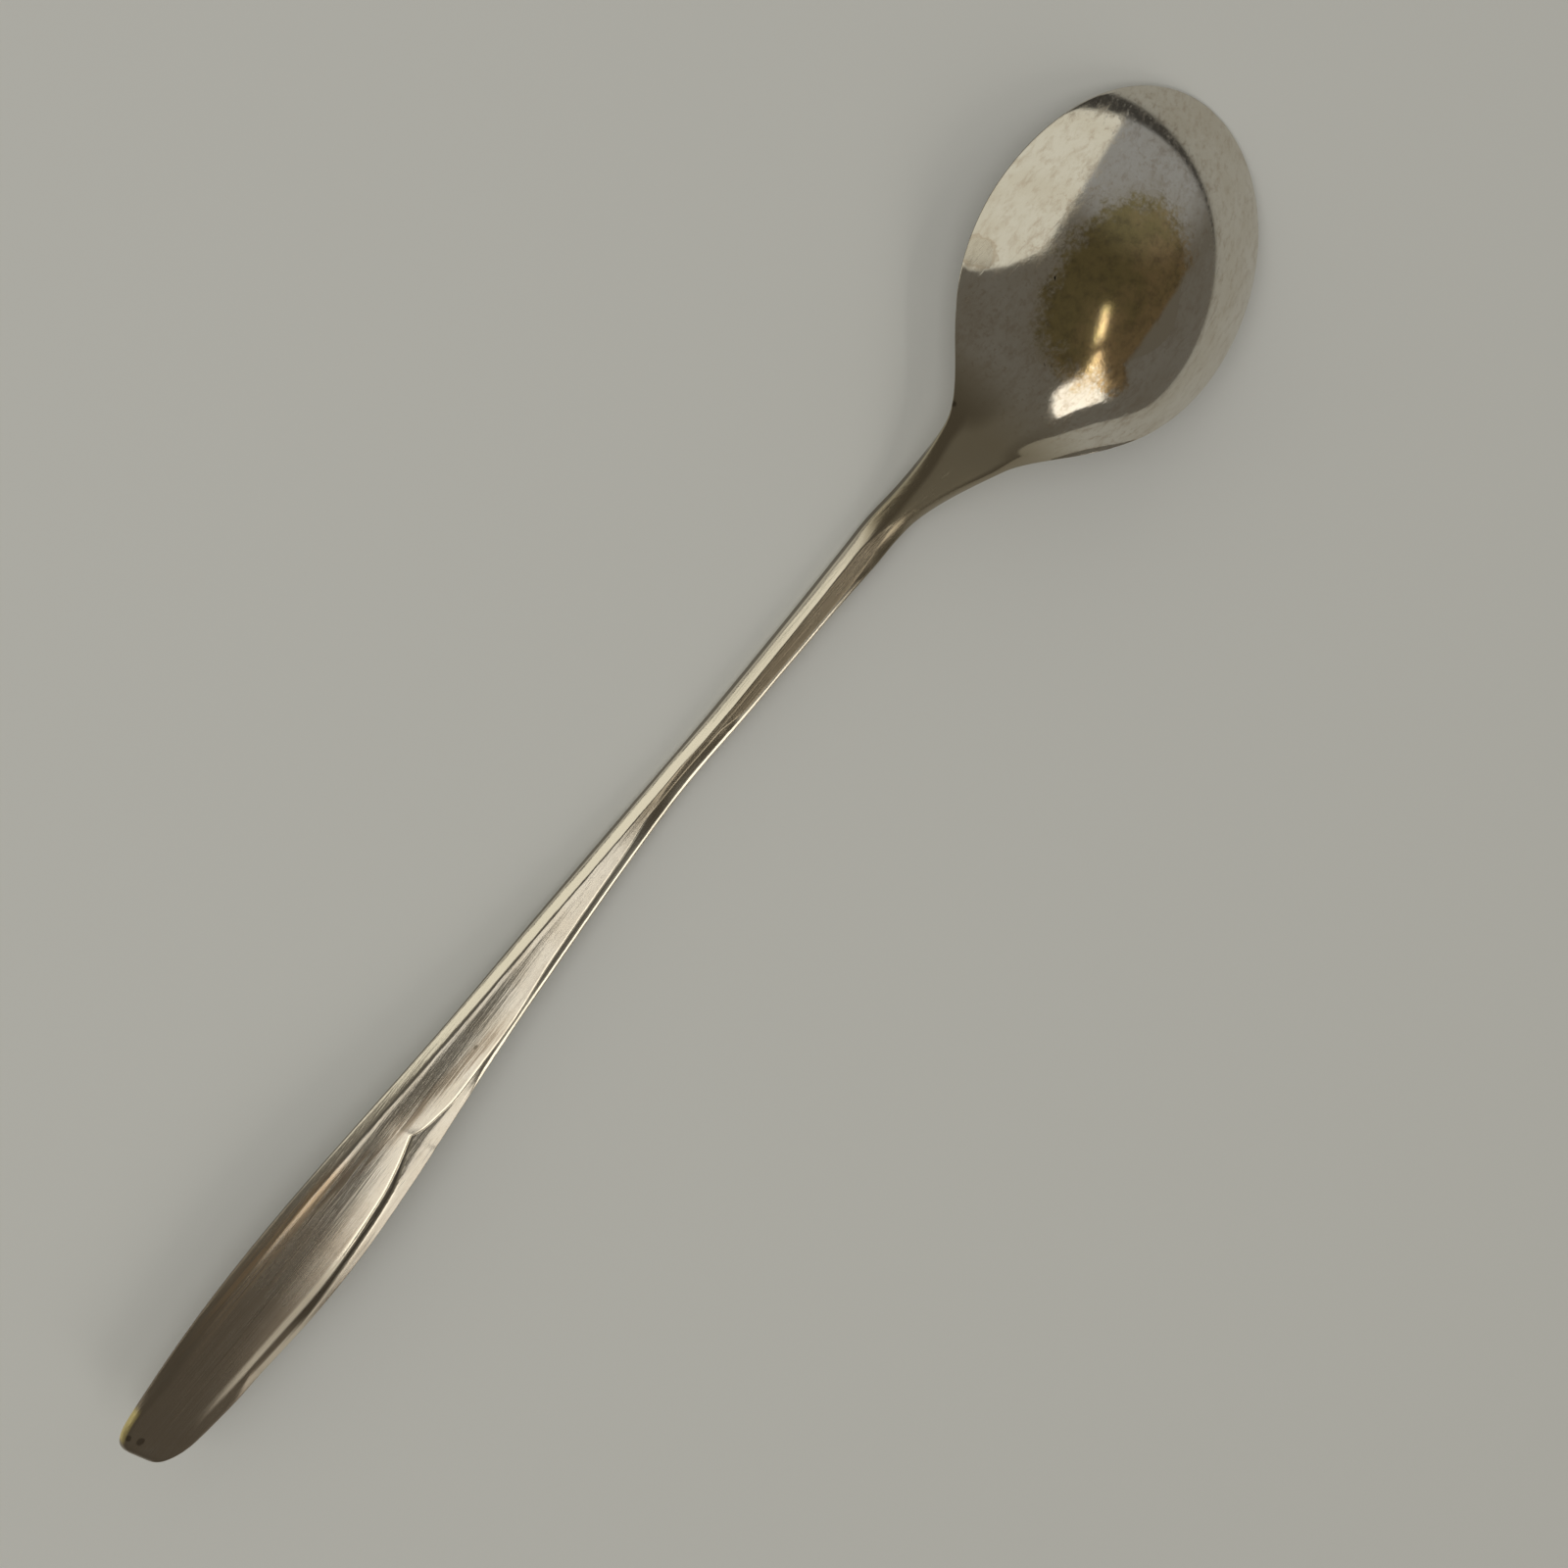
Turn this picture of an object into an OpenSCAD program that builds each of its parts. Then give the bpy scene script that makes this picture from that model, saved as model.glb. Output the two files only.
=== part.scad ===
// Iced tea spoon in two metals: a stamped brass blank and the silver plate that covers it.
// It lies face down, as on a table: X runs from the end of the handle to the tip of the bowl, Z is up.

/* [Bowl] */
// Length from the heel, where the neck has opened out, to the tip
bowl_l = 40; // [36:0.5:50]
// Width at the widest place
bowl_w = 31; // [26:0.5:40]
// Distance from the tip back to the widest place
bowl_front = 19; // [16:0.5:22]
// Height of the back of the bowl above its rim
bowl_depth = 7.25; // [5:0.25:10]
// Thickness of the bowl at its crown
bowl_wall = 1.4; // [0.8:0.1:2]
// Width of the flat edge around the rim
rim_w = 1.1; // [0.6:0.1:1.6]
// Thickness of the rim edge
rim_t = 0.3; // [0.2:0.05:0.6]
// Height of the rim above the table where it arches highest
rim_arch = 8; // [5:0.2:10]

/* [Neck and stem] */
// Length from the slimmest place to the heel of the bowl
stem_l = 38; // [32:1:46]
// Width at the slimmest place
stem_w = 2.9; // [2.4:0.1:4.4]
// Thickness of the stem
stem_t = 3; // [2:0.1:4]
// Length of the stretch that lies on the table
rest_l = 29; // [14:1:30]
// Length over which the neck opens out to the heel
flare_l = 10; // [6:0.5:14]
// Width where the neck begins to open out
neck_w = 3.8; // [3:0.1:6]
// Width at the heel
heel_w = 8.2; // [6.4:0.1:11]

/* [Handle] */
// Length from the end to the slimmest place of the stem
handle_l = 109; // [95:1:125]
// Width at the widest place
handle_w = 11.1; // [9:0.1:15]
// Distance from the end to the widest place
handle_peak = 30; // [22:1:40]
// Width half way along the taper
taper_w = 6.2; // [4.8:0.1:8]
// Width that the sides run to at the end
end_w = 6.8; // [5:0.1:9]
// Length of the rounding at the end
end_round = 6; // [3:0.5:10]
// Thickness at the end
handle_t = 1.6; // [1:0.1:2.4]
// Height that the end curls up above the stem
end_lift = 6; // [3:0.5:12]

/* [Plate] */
// Thickness of the silver
plate_t = 0.04; // [0.02:0.01:0.1]
// Distance from the tip to the middle of the worn patch
worn_from_tip = 20; // [16:0.5:28]
// Distance of the patch from the middle line, to the left
worn_off = 1.5; // [-4:0.5:4]
// Length of the worn patch
worn_l = 18; // [8:1:24]
// Width of the worn patch
worn_w = 12.5; // [6:0.5:18]

/* [Hidden] */

// Places along the spoon, measured from the end of the handle
slim_x = handle_l;
heel_x = slim_x + stem_l;
tip_x = heel_x + bowl_l;
wide_x = tip_x - bowl_front;
neck_x = heel_x - flare_l;
taper_x = (handle_peak + slim_x) / 2;

// The rest stretch begins just behind the slimmest place, and the handle curls up from there to its end
rest_lead = 5;
rest_x = slim_x - rest_lead;
rest_end_x = rest_x + rest_l;
curl_x = 25;
thicken_x = 45;

// The rim arches highest just past the heel and comes down to the table at the tip
arch_past = 6;
arch_x = heel_x + arch_past;
arch_power = 1.7;

// The bowl is oval in plan, and the neck runs into the oval behind the widest place
heel_run = 3.6;
bowl_back = bowl_l - bowl_front - heel_run;
join_share = 0.68;
join_x = wide_x - join_share * bowl_back;
join_step = 3;

// Run of the outer dome towards the neck, and of the hollow towards the heel, and how softly they begin
dome_run = bowl_l - bowl_front;
hollow_run = dome_run - heel_run;
soft_start = 0.12;

// Where the bar turns into a shell: past the neck for the edge and the back, past the heel for the front
edge_past = 2;
back_past = 4;
front_past = 4;

// Squareness of the cross-section in the handle, the stem and the neck, and of the end in plan
handle_square = 6;
stem_square = 2.6;
neck_square = 2.2;
end_square = 2.6;

// Share of the thickness that stands as a plain wall at the sides of the handle and of the stem
handle_wall = 0.15;
stem_wall = 0.35;

// Heights of the middle of the edge where the stem and the tip lie on the table
rest_z = stem_t / 2 + plate_t;
tip_z = rim_t / 2 + plate_t;

// Steps of the mesh: around one face of the section, and along each stretch
across = 14;
ring = 2 * (across + 1);
end_steps = 6;
handle_steps = 10;
stem_steps = 4;
neck_steps = 8;
back_steps = 5;
front_steps = 10;
last_angle = 86;

function ease(from, to, at) =
    let (t = min(1, max(0, (at - from) / (to - from))))
    t * t * (3 - 2 * t);

// A smooth curve through knots that does not overshoot them
function gap(knots, i) = knots[i + 1][0] - knots[i][0];
function rise(knots, i) = (knots[i + 1][1] - knots[i][1]) / gap(knots, i);
function first_slope(knots) =
    ((2 * gap(knots, 0) + gap(knots, 1)) * rise(knots, 0) - gap(knots, 0) * rise(knots, 1))
    / (gap(knots, 0) + gap(knots, 1));
function mean_slope(knots, i) =
    let (before = gap(knots, i - 1))
    let (after = gap(knots, i))
    let (share_before = (2 * after + before) / rise(knots, i - 1))
    let (share_after = (after + 2 * before) / rise(knots, i))
    3 * (before + after) / (share_before + share_after);
function slope(knots, i) =
    i == 0 ? first_slope(knots)
    : i == len(knots) - 1 ? rise(knots, i - 1)
    : rise(knots, i - 1) * rise(knots, i) <= 0 ? 0
    : mean_slope(knots, i);
function curve(knots, at, i = 0) =
    i < len(knots) - 2 && at > knots[i + 1][0] ? curve(knots, at, i + 1)
    : let (h = gap(knots, i))
      let (t = (at - knots[i][0]) / h)
      (1 + 2 * t) * pow(1 - t, 2) * knots[i][1] + t * pow(1 - t, 2) * h * slope(knots, i)
      + t * t * (3 - 2 * t) * knots[i + 1][1] + t * t * (t - 1) * h * slope(knots, i + 1);

// Outline in plan
function oval(at) =
    let (reach = at > wide_x ? bowl_front : bowl_back)
    bowl_w / 2 * sqrt(max(0, 1 - pow((at - wide_x) / reach, 2)));
side_knots = [
    [0, end_w / 2],
    [handle_peak, handle_w / 2],
    [taper_x, taper_w / 2],
    [slim_x, stem_w / 2],
    [neck_x, neck_w / 2],
    [heel_x, heel_w / 2],
    [join_x, oval(join_x)],
    [join_x + join_step, oval(join_x + join_step)],
];
function end_share(at) =
    at >= end_round ? 1 : pow(1 - pow(1 - at / end_round, end_square), 1 / end_square);
function half_width(at) = end_share(at) * (at < join_x ? curve(side_knots, at) : oval(at));

// Height of the middle of the edge
function edge_z(at) =
    at < arch_x
    ? rest_z + end_lift * ease(rest_x, curl_x, at) + (rim_arch - rest_z) * ease(rest_end_x, arch_x, at)
    : rim_arch - (rim_arch - tip_z) * pow((at - arch_x) / (tip_x - arch_x), arch_power);

// Cross-section: a rounded bar in the handle and the stem that turns into a shell in the bowl
function in_bowl(at) = ease(neck_x + edge_past, arch_x, at);
function thickness(at) = handle_t + (stem_t - handle_t) * ease(thicken_x, rest_x, at);
function wall_share(at) = handle_wall + (stem_wall - handle_wall) * ease(thicken_x, rest_x, at);
function half_edge(at) = (thickness(at) * wall_share(at) * (1 - in_bowl(at)) + rim_t * in_bowl(at)) / 2;
function squareness(at) =
    handle_square
    + (stem_square - handle_square) * ease(thicken_x, rest_x, at)
    + (neck_square - stem_square) * ease(neck_x, heel_x, at);
function bar(at) = thickness(at) * (1 - wall_share(at)) / 2;
function swell(at, run) =
    let (reach = at > wide_x ? bowl_front : run)
    let (rising = 1 - pow((at - wide_x) / reach, 2))
    let (soft = at > wide_x ? 0 : soft_start * min(1, 1 - rising))
    (rising + sqrt(rising * rising + soft * soft)) / 2;
function back_point(at, v) =
    let (round_off = 1 - pow(abs(v), squareness(at)))
    let (bar_z = bar(at) * (1 - ease(neck_x + back_past, join_x, at)) * round_off)
    let (dome_z = bowl_depth * swell(at, dome_run) * (1 - v * v))
    [at, half_width(at) * v, edge_z(at) + half_edge(at) + bar_z + dome_z];
function front_point(at, v) =
    let (round_off = 1 - pow(abs(v), squareness(at)))
    let (bar_z = bar(at) * (1 - ease(neck_x, heel_x + front_past, at)) * round_off)
    let (hollow_depth = bowl_depth + rim_t - bowl_wall)
    let (hollow_z = hollow_depth * swell(at, hollow_run) * (1 - v * v))
    let (shrink = in_bowl(at) * rim_w / (bowl_w / 2))
    [
        at + (wide_x - at) * shrink,
        half_width(at) * v * (1 - shrink),
        edge_z(at) - half_edge(at) - bar_z + hollow_z,
    ];

// Stations along the spoon, closer together where the outline turns
function steps(from, to, count) = [for (i = [1:count]) from + (to - from) * i / count];
end_angles = steps(0, 90, end_steps);
front_angles = steps(0, last_angle, front_steps);
stations = concat(
    [for (a = end_angles) end_round * (1 - pow(cos(a), 2 / end_square))],
    steps(end_round, slim_x, handle_steps),
    steps(slim_x, neck_x, stem_steps),
    steps(neck_x, join_x, neck_steps),
    steps(join_x, wide_x, back_steps),
    [for (a = front_angles) wide_x + bowl_front * sin(a)]
);
rows = len(stations);
middle_x = (stations[0] + stations[rows - 1]) / 2;

function section_point(at, j) =
    j <= across
    ? back_point(at, cos(180 * j / across))
    : front_point(at, -cos(180 * (j - across - 1) / across));
even_grid = [for (at = stations) [for (j = [0:ring - 1]) section_point(at, j)]];

// The worn patch: a cell of the even grid is worn if its middle lies in a ragged oval on the back,
// and the corners around the patch then move onto the oval, so that its edge has no steps
worn_middle = [tip_x - worn_from_tip, worn_off];
worn_ragged = 0.1;
function worn_share(p) =
    let (q = [(p[0] - worn_middle[0]) * 2 / worn_l, (p[1] - worn_middle[1]) * 2 / worn_w])
    let (turn = atan2(q[1], q[0]))
    norm(q) / (1 + worn_ragged * sin(3 * turn) + worn_ragged / 2 * sin(7 * turn));
function is_worn(i, j) =
    i >= 0 && i < rows - 1 && j >= 0 && j < across
    && worn_share((even_grid[i][j] + even_grid[i + 1][j + 1]) / 2) < 1;
function on_worn_edge(i, j) =
    let (worn_cells = [for (di = [-1, 0]) for (dj = [-1, 0]) if (is_worn(i + di, j + dj)) 1])
    len(worn_cells) % 4 != 0;
function onto_edge(p) =
    let (x = worn_middle[0] + (p[0] - worn_middle[0]) / worn_share(p))
    let (y = worn_middle[1] + (p[1] - worn_middle[1]) / worn_share(p))
    back_point(x, y / half_width(x));
grid = [
    for (i = [0:rows - 1]) [
        for (j = [0:ring - 1])
            (on_worn_edge(i, j) ? onto_edge(even_grid[i][j]) : even_grid[i][j]) - [middle_x, 0, 0]
    ]
];

// Outward direction at each point of the grid, leaning out past both ends
function unit(v) = v / norm(v);
function outward(i, j) =
    let (along = grid[min(i + 1, rows - 1)][j] - grid[max(i - 1, 0)][j])
    let (around = grid[i][(j + 1) % ring] - grid[i][(j + ring - 1) % ring])
    let (end = i == 0 ? -1 : i == rows - 1 ? 1 : 0)
    unit(unit(cross(around, along)) + [end, 0, 0]);

blank_points = [for (i = [0:rows - 1]) for (j = [0:ring - 1]) grid[i][j]];
plate_points = [for (i = [0:rows - 1]) for (j = [0:ring - 1]) grid[i][j] + plate_t * outward(i, j)];

// Faces, clockwise as seen from outside
function at_grid(i, j) = i * ring + j % ring;
function quad(a, b, c, d) = [[a, b, c], [a, c, d]];
function cell(i, j) = quad(at_grid(i, j), at_grid(i + 1, j), at_grid(i + 1, j + 1), at_grid(i, j + 1));
function end_cell(i, j) =
    quad(at_grid(i, j), at_grid(i, j + 1), at_grid(i, ring - 2 - j), at_grid(i, ring - 1 - j));
function flipped(faces) = [for (f = faces) [f[2], f[1], f[0]]];
function shifted(faces, by) = [for (f = faces) [f[0] + by, f[1] + by, f[2] + by]];
end_faces = concat(
    [for (j = [0:across - 1]) each end_cell(0, j)],
    flipped([for (j = [0:across - 1]) each end_cell(rows - 1, j)])
);
blank_faces = concat(end_faces, [for (i = [0:rows - 2]) for (j = [0:ring - 1]) each cell(i, j)]);
kept_faces = concat(
    end_faces,
    [for (i = [0:rows - 2]) for (j = [0:ring - 1]) if (!is_worn(i, j)) each cell(i, j)]
);

// Walls around the worn patch, from the plate's outside down to the blank
inner = rows * ring;
function wall(a, b) = quad(a, b, b + inner, a + inner);
function walls(i, j) = concat(
    is_worn(i, j - 1) ? [] : wall(at_grid(i, j), at_grid(i + 1, j)),
    is_worn(i + 1, j) ? [] : wall(at_grid(i + 1, j), at_grid(i + 1, j + 1)),
    is_worn(i, j + 1) ? [] : wall(at_grid(i + 1, j + 1), at_grid(i, j + 1)),
    is_worn(i - 1, j) ? [] : wall(at_grid(i, j + 1), at_grid(i, j))
);
plate_faces = concat(
    kept_faces,
    shifted(flipped(kept_faces), inner),
    [for (i = [0:rows - 2]) for (j = [0:across - 1]) if (is_worn(i, j)) each walls(i, j)]
);

module brass_blank() {
    color([0.55, 0.42, 0.2])
        polyhedron(points = blank_points, faces = blank_faces, convexity = 6);
}

module silver_plate() {
    color([0.72, 0.7, 0.66])
        polyhedron(points = concat(plate_points, blank_points), faces = plate_faces, convexity = 6);
}

brass_blank();
silver_plate();
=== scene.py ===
"""Iced tea spoon lying face down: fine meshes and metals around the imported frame.

Sizes are in millimetres, as in the part's source, and become metres when a mesh is made.
"""

import math

import bpy
import numpy as np
from mathutils import Matrix, Vector


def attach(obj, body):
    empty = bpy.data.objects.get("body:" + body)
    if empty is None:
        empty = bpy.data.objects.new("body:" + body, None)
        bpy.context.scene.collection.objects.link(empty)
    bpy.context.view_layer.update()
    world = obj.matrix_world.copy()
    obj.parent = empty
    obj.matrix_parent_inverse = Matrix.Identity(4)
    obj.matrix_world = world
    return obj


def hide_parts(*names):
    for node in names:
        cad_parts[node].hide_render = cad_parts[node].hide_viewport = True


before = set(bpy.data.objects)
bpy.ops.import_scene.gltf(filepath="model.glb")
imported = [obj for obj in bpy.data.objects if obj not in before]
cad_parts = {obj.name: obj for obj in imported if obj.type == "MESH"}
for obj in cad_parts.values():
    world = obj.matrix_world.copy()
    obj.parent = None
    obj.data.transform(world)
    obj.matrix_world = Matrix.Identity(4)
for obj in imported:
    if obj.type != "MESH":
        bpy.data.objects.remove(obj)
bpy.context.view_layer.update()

MM = 0.001

# Sizes of the bowl
BOWL_L = 40
BOWL_W = 31
BOWL_FRONT = 19
BOWL_DEPTH = 7.22
BOWL_WALL = 1.4
RIM_W = 1.1
RIM_T = 0.3
RIM_ARCH = 8

# Sizes of the neck and the stem
STEM_L = 38
STEM_W = 2.9
STEM_T = 3
REST_L = 29
FLARE_L = 10
NECK_W = 3.8
HEEL_W = 8.2

# Sizes of the handle
HANDLE_L = 109
HANDLE_W = 11.1
HANDLE_PEAK = 30
TAPER_W = 6.2
END_W = 6.8
END_ROUND = 6
HANDLE_T = 1.6
END_LIFT = 6

# Sizes of the plate and of its worn patch
PLATE_T = 0.04
WORN_FROM_TIP = 20
WORN_OFF = 1.5
WORN_L = 18
WORN_W = 12.5
WORN_RAGGED = 0.1
PLATE_EDGE_T = 0.006

# Places along the spoon, from the end of the handle
SLIM_X = HANDLE_L
HEEL_X = SLIM_X + STEM_L
TIP_X = HEEL_X + BOWL_L
WIDE_X = TIP_X - BOWL_FRONT
NECK_X = HEEL_X - FLARE_L
TAPER_X = (HANDLE_PEAK + SLIM_X) / 2
REST_X = SLIM_X - 5
REST_END_X = REST_X + REST_L
CURL_X = 25
THICKEN_X = 45
ARCH_X = HEEL_X + 6
ARCH_POWER = 1.7
HEEL_RUN = 3.6
BOWL_BACK = BOWL_L - BOWL_FRONT - HEEL_RUN
JOIN_X = WIDE_X - 0.68 * BOWL_BACK
JOIN_STEP = 3
DOME_RUN = BOWL_L - BOWL_FRONT
HOLLOW_RUN = DOME_RUN - HEEL_RUN

# Shape of the cross-section and of the end in plan
FRONT_SQUARE = 6
STEM_SQUARE = 2.6
NECK_SQUARE = 2.2
END_SQUARE = 2.6
LEFT_END_SQUARE = 4.5
HANDLE_WALL = 0.15
STEM_WALL = 0.35
SOFT_START = 0.12
HEEL_WING = 0.6
END_ROLL = 1.5
REST_Z = STEM_T / 2 + PLATE_T
TIP_Z = RIM_T / 2 + PLATE_T

# The source's mesh stops a little short of both ends, and its middle is the frame's origin
FIRST_ANGLE = 15
LAST_ANGLE = 86
FIRST_X = END_ROUND * (1 - math.cos(math.radians(FIRST_ANGLE)) ** (2 / END_SQUARE))
LAST_X = WIDE_X + BOWL_FRONT * math.sin(math.radians(LAST_ANGLE))
MIDDLE_X = (FIRST_X + LAST_X) / 2

# Bevels of the handle's and the stem's back: widths at places along the spoon, share of the section's
# height that the right one falls, and how rounded each of them is
LEFT_BEVEL = np.array([
    (0, 0.8), (5, 0.9), (9, 1.5), (14, 1.7), (26, 1.3), (36, 1.1), (52, 1.0), (72, 0.9), (131, 0.85),
    (NECK_X, 1.9),
])
LEFT_ROUND = np.array([
    (0, 2.0), (22, 1.9), (36, 1.3), (52, 1.05), (100, 1.05), (131, 1.2), (NECK_X + 3, NECK_SQUARE),
])
RIGHT_BEVEL = np.array([
    (0, 0.3), (12, 0.35), (17, 1.2), (22, 0.9), (28, 0.8), (36, 1.15), (44, 1.5), (50, 1.9), (57, 1.3),
    (62, 1.1), (68, 0.85), (76, 1.25), (90, 1.4), (98, 2.0), (104, 2.1), (112, 0.72), (127, 0.72),
    (NECK_X, 1.9),
])
RIGHT_FALL = np.array([
    (0, 0.4), (12, 0.12), (17, 0.62), (22, 0.5), (28, 0.42), (36, 0.4), (44, 0.45), (57, 0.45), (76, 0.5),
    (90, 0.6), (98, 0.75), (104, 0.62), (113, 0.3), (131, 0.3), (NECK_X, 1),
])
RIGHT_ROUND = np.array([
    (0, 2.0), (12, 1.9), (17, 1.15), (90, 1.2), (97, 1.05), (106, 1.05), (113, 1.2), (131, 1.2),
    (NECK_X + 3, NECK_SQUARE),
])

# The right edge keeps a narrow flatter facet, and the left bevel of the handle has a low crest beside it
FACET_W = np.array([(0, 0), (57, 0), (62, 0.42), (127, 0.42), (132, 0)])
FACET_SLOPE = 0.18
CREST_W = 0.6
CREST_H = 0.08

# The handle's back falls towards its border line over this width, ever steeper
CROWN_W = 3.5
CROWN_FALL = 0.4

# Border line of the handle's back: distances in from the right edge, above and below its point, and the
# places of the foot of its step and of the groove past it, in widths of the step
BORDER_POINT_X = 51
BORDER_ABOVE = np.array([
    (51, 3.6), (52.4, 2.75), (54.6, 2.1), (57, 1.55), (61, 1.2), (68, 0.85), (76, 1.25), (90, 1.4),
    (98, 2.0), (104, 2.1), (106, 2.1),
])
BORDER_BELOW = np.array([(6, 1.9), (14, 2.15), (22, 2.3), (33, 2.2), (43, 2.4), (47, 2.85), (51, 3.6)])
SECOND_BORDER = np.array([(20, 0.3), (28, 0.7), (34, 1.1), (41, 1.3), (44, 1.5), (48, 2.4), (51, 3.1)])
STEP_W = 0.24
LOW_STEP_W = 0.5
STEP_H = 0.14
STEP_FOOT = 1.4
GROOVE_FROM = 1.6
FOOT_DIRT = 0.5
BORDER_SHARES = (-0.85, 0.5)
SECOND_W = 0.3
SECOND_H = 0.1
BEAD_W = 0.24
SLIM_BEAD_INSET = 1.3
SLIM_BEAD_H = 0.06

# Stretches along the spoon over which each piece of relief goes from nothing to its full height
CREST_BEGINS = (26, 40)
CREST_ENDS = (100, 90)
CROWN_BEGINS = (4, 30)
CROWN_ENDS = (110, 100)
BORDER_BEGINS = (BORDER_BELOW[0, 0], 18)
BORDER_ENDS = (100, 84)
SECOND_BEGINS = (SECOND_BORDER[0, 0], 27)
SECOND_ENDS = (BORDER_POINT_X + 0.3, BORDER_POINT_X - 0.5)
LOW_STEP_BEGINS = (44, 28)
BORDER_LEAVES_MIDDLE = (SLIM_X + 2, SLIM_X - 4)
SLIM_BEAD_BEGINS = (22, 34)
SLIM_BEAD_ENDS = (52, 40)
HEEL_WING_ENDS = (162, 150)

# Worn places of the handle, also painted bright as highlights: the right edge and a low face beside it,
# along the spoon and across it
EDGE_SHINE_BEGINS = (55, 62)
EDGE_SHINE_ENDS = (130, 124)
EDGE_SHINE_W = (0.6, 0.45)
LOW_FACE_BEGINS = (12, 19)
LOW_FACE_ENDS = (29, 23)
LOW_FACE_W = (1.0, 0.8)


def ease(start, end, at):
    """0 at start and 1 at end, with level ends."""
    t = np.clip((np.asarray(at, float) - start) / (end - start), 0, 1)
    return t * t * (3 - 2 * t)


def oval(at):
    """Half width of the bowl's oval."""
    reach = np.where(at > WIDE_X, BOWL_FRONT, BOWL_BACK)
    return BOWL_W / 2 * np.sqrt(np.maximum(0, 1 - ((at - WIDE_X) / reach) ** 2))


SIDE_KNOTS = np.array([
    (0, END_W / 2),
    (HANDLE_PEAK, HANDLE_W / 2),
    (TAPER_X, TAPER_W / 2),
    (SLIM_X, STEM_W / 2),
    (NECK_X, NECK_W / 2),
    (HEEL_X, HEEL_W / 2),
    (JOIN_X, oval(JOIN_X)),
    (JOIN_X + JOIN_STEP, oval(JOIN_X + JOIN_STEP)),
], float)


def knot_slopes(knots):
    """Slopes of a smooth curve through the knots that does not overshoot them."""
    gap = np.diff(knots[:, 0])
    rise = np.diff(knots[:, 1]) / gap
    slope = np.zeros(len(knots))
    first = ((2 * gap[0] + gap[1]) * rise[0] - gap[0] * rise[1]) / (gap[0] + gap[1])
    slope[0] = first if first * rise[0] > 0 else 0
    slope[-1] = rise[-1]
    for i in range(1, len(knots) - 1):
        if rise[i - 1] * rise[i] > 0:
            before = (2 * gap[i] + gap[i - 1]) / rise[i - 1]
            after = (gap[i] + 2 * gap[i - 1]) / rise[i]
            slope[i] = 3 * (gap[i - 1] + gap[i]) / (before + after)
    return slope


def curve(knots, at):
    """The smooth curve through the knots."""
    slope = knot_slopes(knots)
    i = np.clip(np.searchsorted(knots[:, 0], at) - 1, 0, len(knots) - 2)
    gap = knots[i + 1, 0] - knots[i, 0]
    t = (at - knots[i, 0]) / gap
    start = (1 + 2 * t) * (1 - t) ** 2 * knots[i, 1] + t * (1 - t) ** 2 * gap * slope[i]
    end = t * t * (3 - 2 * t) * knots[i + 1, 1] + t * t * (t - 1) * gap * slope[i + 1]
    return start + end


def end_share(at, square):
    """Share of the width that the rounding of the handle's end leaves."""
    short = np.clip(1 - at / END_ROUND, 0, 1)
    return (1 - short ** square) ** (1 / square)


def half_width(at):
    """Half width of the spoon in plan."""
    sides = np.where(at < JOIN_X, curve(SIDE_KNOTS, np.minimum(at, JOIN_X)), oval(at))
    return end_share(at, END_SQUARE) * sides


def sideways(at, v):
    """Distance from the middle line: the left corner of the handle's end is the sharper one."""
    left = end_share(at, LEFT_END_SQUARE) / end_share(at, END_SQUARE)
    return half_width(at) * v * np.where(v > 0, left, 1)


def edge_z(at):
    """Height of the middle of the edge."""
    curled = END_LIFT * ease(REST_X, CURL_X, at)
    raised = (RIM_ARCH - REST_Z) * ease(REST_END_X, ARCH_X, at)
    share = np.clip((at - ARCH_X) / (TIP_X - ARCH_X), 0, 1)
    arch = RIM_ARCH - (RIM_ARCH - TIP_Z) * share ** ARCH_POWER
    return np.where(at < ARCH_X, REST_Z + curled + raised, arch)


def in_bowl(at):
    """0 in the handle and the stem, and 1 where the edge is the bowl's rim."""
    return ease(NECK_X + 2, ARCH_X, at)


def thickness(at):
    """Thickness of the handle and the stem."""
    return HANDLE_T + (STEM_T - HANDLE_T) * ease(THICKEN_X, REST_X, at)


def wall_share(at):
    """Share of the thickness that stands as a plain wall at the sides."""
    return HANDLE_WALL + (STEM_WALL - HANDLE_WALL) * ease(THICKEN_X, REST_X, at)


def half_edge(at):
    """Half the height of the plain wall at the sides."""
    return (thickness(at) * wall_share(at) * (1 - in_bowl(at)) + RIM_T * in_bowl(at)) / 2


def bar_height(at):
    """Height of the rounded part of the section, which also rolls off at the end of the handle."""
    rolled = 1 - np.clip(1 - at / END_ROLL, 0, 1) ** 3
    return thickness(at) * (1 - wall_share(at)) / 2 * rolled


def swell(at, run):
    """Share of the bowl's depth along its middle line, with a soft start at the neck."""
    reach = np.where(at > WIDE_X, BOWL_FRONT, run)
    rising = 1 - ((at - WIDE_X) / reach) ** 2
    soft = np.where(at > WIDE_X, 0, SOFT_START * np.minimum(1, 1 - rising))
    return (rising + np.sqrt(rising ** 2 + soft ** 2)) / 2


def facet_width(at):
    """Width of the flatter facet along the right edge."""
    return curve(FACET_W, np.minimum(at, FACET_W[-1, 0]))


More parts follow.
